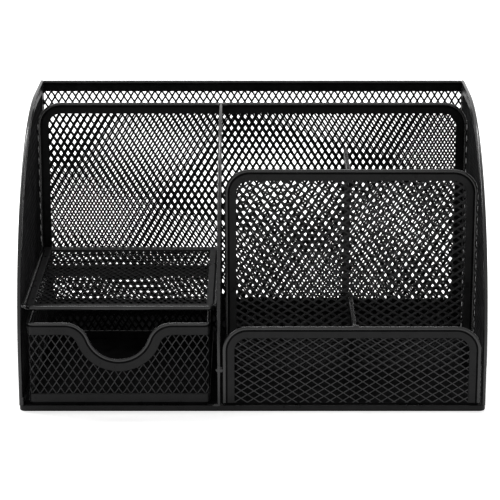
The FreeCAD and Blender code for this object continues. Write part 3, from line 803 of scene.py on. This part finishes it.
tray_divider = Panel("tray_divider_mesh", "x", ("b+",))
tray_divider.metal("b", finish=shaded_mesh_coat)
put_strip("tray_divider_trim", tray_divider.strip(("b+",)),
          weld((tray_divider.plane, tray_divider.low[0] - 0.2, tray.high[1] - 0.3),
               (1.8, 1.4, 1.2)))

shelf = Panel("shelf_mesh", "z", ("a-", "a+", "b-", "b+"),
              {"a-b-": SHELF_CORNER, "a+b-": SHELF_CORNER})
shelf.metal("b", strand=SHELF_STRAND, finish=shaded_mesh_coat)
put_strip("shelf_trim",
          shelf.strip(("a+", "b-", "a-"), nosed_section(SHELF_NOSE), SHELF_NOSE / 2),
          shelf.strip(("b+",), flat_section(STRIP_WIDTH, STRIP - 0.06), 0.0,
                      start=shelf.low[0] + 1, end=shelf.high[0] - 1))


# ---- the drawer ----

drawer_low, drawer_high = ([value / MM for value in corner]
                           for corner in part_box("drawer_top_rim"))
ROUND = DRAWER_CORNER - STRIP / 2
BEND = ROUND * math.pi / 2
WIDE, DEEP = (drawer_high[axis] - drawer_low[axis] - DRAWER_NOSE - 2 * ROUND
              for axis in (0, 1))
LENGTH = 2 * (WIDE + DEEP) + 4 * BEND


def round_drawer(along):
    """Places on the middle of the drawer's wall, from the front's left corner on, and the
    ways along the wall and out of it, seen from above.
    """
    along = np.asarray(along, dtype=float) % LENGTH
    spots, ways, outs = (np.empty((len(along), 2)) for _ in range(3))
    middle = DRAWER_NOSE / 2
    (left_x, front_y), (right_x, back_y) = (
        [drawer_low[axis] + middle for axis in (0, 1)],
        [drawer_high[axis] - middle for axis in (0, 1)])
    corners = ((left_x + ROUND, front_y), (right_x, front_y + ROUND),
               (right_x - ROUND, back_y), (left_x, back_y - ROUND))
    start = 0.0
    for side, (run, corner) in enumerate(zip((WIDE, DEEP, WIDE, DEEP), corners)):
        angle = math.pi / 2 * side
        way = np.array((math.cos(angle), math.sin(angle)))
        out = np.array((way[1], -way[0]))
        flat = (along >= start) & (along < start + run)
        spots[flat] = np.array(corner) + np.outer(along[flat] - start, way)
        ways[flat], outs[flat] = way, out
        start += run
        curved = (along >= start) & (along < start + BEND)
        turn = (along[curved] - start)[:, None] / ROUND
        outs[curved] = np.cos(turn) * out + np.sin(turn) * way
        ways[curved] = np.cos(turn) * way - np.sin(turn) * out
        pivot = np.array(corner) + run * way - ROUND * out
        spots[curved] = pivot + ROUND * outs[curved]
        start += BEND
    return spots, ways, outs


def scoop_edge(inset):
    """The scoop's edge moved into the wall, as (along, height) with the ways into the wall."""
    centre, top = WIDE / 2, drawer_high[2]
    radii = SCOOP_RADIUS + SHOULDER_RADIUS
    steep = math.degrees(math.acos((radii - SCOOP_DEPTH) / radii))
    span = math.sqrt(radii ** 2 - (radii - SCOOP_DEPTH) ** 2)
    spots, ways = [], []
    for middle, height, radius, start, end, sign in (
            (centre - span, top - SHOULDER_RADIUS, SHOULDER_RADIUS - inset, 90, 90 - steep, -1),
            (centre, top - SCOOP_DEPTH + SCOOP_RADIUS, SCOOP_RADIUS + inset,
             270 - steep, 270 + steep, 1),
            (centre + span, top - SHOULDER_RADIUS, SHOULDER_RADIUS - inset,
             90 + steep, 90, -1)):
        rays = arc((0, 0), 1.0, start, end, 18)
        points = [(middle + radius * a, height + radius * b) for a, b in rays]
        skipped = 1 if spots else 0
        spots += points[skipped:]
        ways += [(sign * a, sign * b) for a, b in rays][skipped:]
    return spots, ways


def ring_path(height, front=None):
    """A path round the drawer at one height, as (along, height) with the ways into the wall.

    The front's part may be given.
    """
    spots, ways = front or ([], [])
    start = 0.0
    for side, run in enumerate((WIDE, DEEP, WIDE, DEEP)):
        if side or not front:
            spots.append((start, height))
            ways.append((0, -1))
        start += run
        for i in range(7):
            spots.append((start + BEND * i / 6, height))
            ways.append((0, -1))
        start += BEND
    # The last bend ends where the front begins.
    return spots[:-1], ways[:-1]


def wrap(spots, ways, section, name, finish=None):
    """Sweeps a section along a path round the drawer."""
    spots, ways = np.array(spots), np.array(ways)
    plan, along, out = round_drawer(spots[:, 0])
    places = np.column_stack((plan, spots[:, 1]))
    inwards = np.column_stack((along * ways[:, :1], ways[:, 1]))
    outwards = np.column_stack((out, np.zeros(len(out))))
    return sweep(name, places, inwards, outwards, section, closed=True, finish=finish)


def drawer_wall():
    """Expanded metal wrapped round the drawer, with the scoop left out of its front."""
    long_way = DRAWER_LONG_WAY
    across = LENGTH / round(LENGTH / DRAWER_SHORT_WAY)
    base, top = drawer_low_strip + long_way / 2, drawer_high[2] - long_way / 2
    edge, _ = scoop_edge(long_way / 2)
    # The rows of holes are counted from one of them. The last row of centres at the seam is
    # the first one again.
    row, column = DRAWER_HOLE
    edge = [(s - column, z) for s, z in edge]
    area = [(-across / 4, base), (-across / 4, top)] + edge
    area += [(LENGTH - across / 4, top), (LENGTH - across / 4, base)]
    mesh = fill("drawer_wall", [(z - row, s) for s, z in area], long_way, across,
                FINE_STRAND, -TILT)
    points = np.empty(len(mesh.vertices) * 3)
    mesh.vertices.foreach_get("co", points)
    height, along, depth = points.reshape(-1, 3).T / MM
    plan, _, outs = round_drawer(along + column)
    places = np.column_stack((plan - depth[:, None] * outs, height + row)) * MM
    mesh.vertices.foreach_set("co", places.ravel())
    # Behind the front, the wall takes the dark, dull coat of the rear sheets: painted shade.
    mesh.materials.append(shaded_mesh_coat)
    front_wall = drawer_low[1] + STRIP * 2
    for face in mesh.polygons:
        if face.center.y / MM > front_wall:
            face.material_index = len(mesh.materials) - 1
    mesh.update()
    put("drawer_wall_metal", [mesh], "drawer_wall_mesh", "drawer", "mesh")


drawer_low_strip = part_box("drawer_bottom_rim")[0].z / MM + FOOT_LIP
drawer_wall()
# The lip set back under the foot strip is in the matt dark coat, a painted shade.
put_strip("drawer_bottom_rim",
          wrap(*ring_path(drawer_low_strip + FOOT_STRIP), flat_section(FOOT_STRIP, STRIP),
               "drawer foot"),
          wrap(*ring_path(drawer_low_strip),
               ([(0, LIP_IN), (0, LIP_OUT), (FOOT_LIP, LIP_OUT), (FOOT_LIP, LIP_IN)],
                [0.0] * 4),
               "drawer lip", matt_shade_coat),
          body="drawer")
nose_line = drawer_high[2] - DRAWER_NOSE / 2
scoop_spots, scoop_ways = scoop_edge(DRAWER_NOSE / 2)
rim_front = ([(0, nose_line)] + scoop_spots, [(0, -1)] + scoop_ways)
put_strip("drawer_top_rim", wrap(*ring_path(nose_line, rim_front),
                                 nosed_section(DRAWER_NOSE, DRAWER_RIM), "drawer rim"),
          body="drawer")

# The base rail and back bottom strip take the strip coat; the floor sheets take the matt dark
# coat, a painted shade.
for name, coat in (("base_rail", band_coat), ("back_bottom_trim", band_coat),
                   ("floor_sheet", matt_shade_coat), ("drawer_floor_sheet", matt_shade_coat)):
    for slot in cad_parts[name].material_slots:
        slot.material = coat


# ---- stage, light and camera ----

def pale_floor(level, glow):
    """A pale matt floor that glows for camera and glossy rays, its glow lowered round the
    stand's footprint as a painted shadow.
    """
    material = bpy.data.materials.new("pale floor")
    material.use_nodes = True
    tree = material.node_tree
    tree.nodes.clear()
    where = add_node(tree, "ShaderNodeTexCoord").outputs["Object"]
    spot = add_node(tree, "ShaderNodeSeparateXYZ", {0: where})
    # How far a place is outside the stand's footprint.
    gaps = []
    size = cad_box[1] - cad_box[0]
    for axis, half in (("X", size.x / 2), ("Y", size.y / 2)):
        off = add_node(tree, "ShaderNodeMath", {0: spot.outputs[axis]}, operation="ABSOLUTE")
        gaps.append(add_node(tree, "ShaderNodeMath", {0: off.outputs[0], 1: half},
                             operation="SUBTRACT").outputs[0])
    beyond = add_node(tree, "ShaderNodeMath", {0: gaps[0], 1: gaps[1]}, operation="MAXIMUM")
    # The glow rises from its near value at the footprint's edge to its far value within
    # SHADE_REACH: a painted shadow round the stand, seen in the stand's reflections too.
    fade = add_node(tree, "ShaderNodeMapRange", {
        "Value": beyond.outputs[0], "From Min": 0.0, "From Max": SHADE_REACH,
        "To Min": glow[0], "To Max": glow[1]}, interpolation_type="SMOOTHSTEP")
    rays = add_node(tree, "ShaderNodeLightPath")
    direct = add_node(tree, "ShaderNodeMath", {
        0: rays.outputs["Is Camera Ray"], 1: rays.outputs["Is Glossy Ray"]},
        operation="MAXIMUM")
    strength = add_node(tree, "ShaderNodeMath", {
        0: direct.outputs[0], 1: fade.outputs["Result"]}, operation="MULTIPLY")
    matt = add_node(tree, "ShaderNodeBsdfDiffuse", {"Color": (level, level, level, 1)})
    light = add_node(tree, "ShaderNodeEmission", {
        "Color": (1, 1, 1, 1), "Strength": strength.outputs[0]})
    both = add_node(tree, "ShaderNodeAddShader", {0: matt.outputs[0], 1: light.outputs[0]})
    add_node(tree, "ShaderNodeOutputMaterial", {"Surface": both.outputs[0]})
    return material


ground = bpy.data.meshes.new("floor")
ground.from_pydata([(FLOOR_HALF * a, FLOOR_HALF * b, 0)
                    for a, b in ((-1, -1), (1, -1), (1, 1), (-1, 1))], [], [(0, 1, 2, 3)])
ground.materials.append(pale_floor(FLOOR_TONE, FLOOR_GLOW))
floor = bpy.data.objects.new("floor", ground)
bpy.context.scene.collection.objects.link(floor)

world = bpy.data.worlds.new("studio")
bpy.context.scene.world = world
world.use_nodes = True
sky = world.node_tree
sky.nodes.clear()
rays = add_node(sky, "ShaderNodeLightPath")
shown = add_node(sky, "ShaderNodeMath", {
    0: rays.outputs["Is Camera Ray"], 1: rays.outputs["Is Glossy Ray"]}, operation="MAXIMUM")
shown = add_node(sky, "ShaderNodeMath", {
    0: shown.outputs[0], 1: rays.outputs["Is Transmission Ray"]}, operation="MAXIMUM")
dim, white = (add_node(sky, "ShaderNodeBackground", {
    "Color": (1, 1, 1, 1), "Strength": strength}) for strength in (WORLD_DIM, WORLD_WHITE))
mixed = add_node(sky, "ShaderNodeMixShader", {
    0: shown.outputs[0], 1: dim.outputs[0], 2: white.outputs[0]})
add_node(sky, "ShaderNodeOutputWorld", {"Surface": mixed.outputs[0]})


def strip_lamp(name, one_end, other_end, width, watts):
    """A long soft lamp between two ends, in metres, turned towards the stand."""
    one_end, other_end = Vector(one_end), Vector(other_end)
    middle = (one_end + other_end) / 2
    lamp = bpy.data.lights.new(name, "AREA")
    lamp.shape = "RECTANGLE"
    lamp.size, lamp.size_y = width, (other_end - one_end).length
    lamp.energy = watts
    holder = bpy.data.objects.new(name, lamp)
    bpy.context.scene.collection.objects.link(holder)
    along = (other_end - one_end).normalized()
    away = middle - Vector(AIM)
    away = (away - away.dot(along) * along).normalized()
    holder.location = middle
    holder.rotation_mode = "QUATERNION"
    holder.rotation_quaternion = Matrix(
        (along.cross(away), along, away)).transposed().to_quaternion()


for name, one_end, other_end, watts in LAMPS:
    strip_lamp(name, one_end, other_end, LAMP_WIDTH, watts)

camera_data = bpy.data.cameras.new("camera")
camera_data.sensor_width = SENSOR
camera_data.lens = LENS
camera_data.shift_x, camera_data.shift_y = SHIFT
camera_data.clip_start = CLIP_START
camera = bpy.data.objects.new("camera", camera_data)
bpy.context.scene.collection.objects.link(camera)
camera.location = CAMERA_PLACE
camera.rotation_mode = "QUATERNION"
camera.rotation_quaternion = (Vector(AIM) - camera.location).to_track_quat("-Z", "Y")
bpy.context.scene.camera = camera
bpy.context.scene.view_settings.view_transform = "Standard"
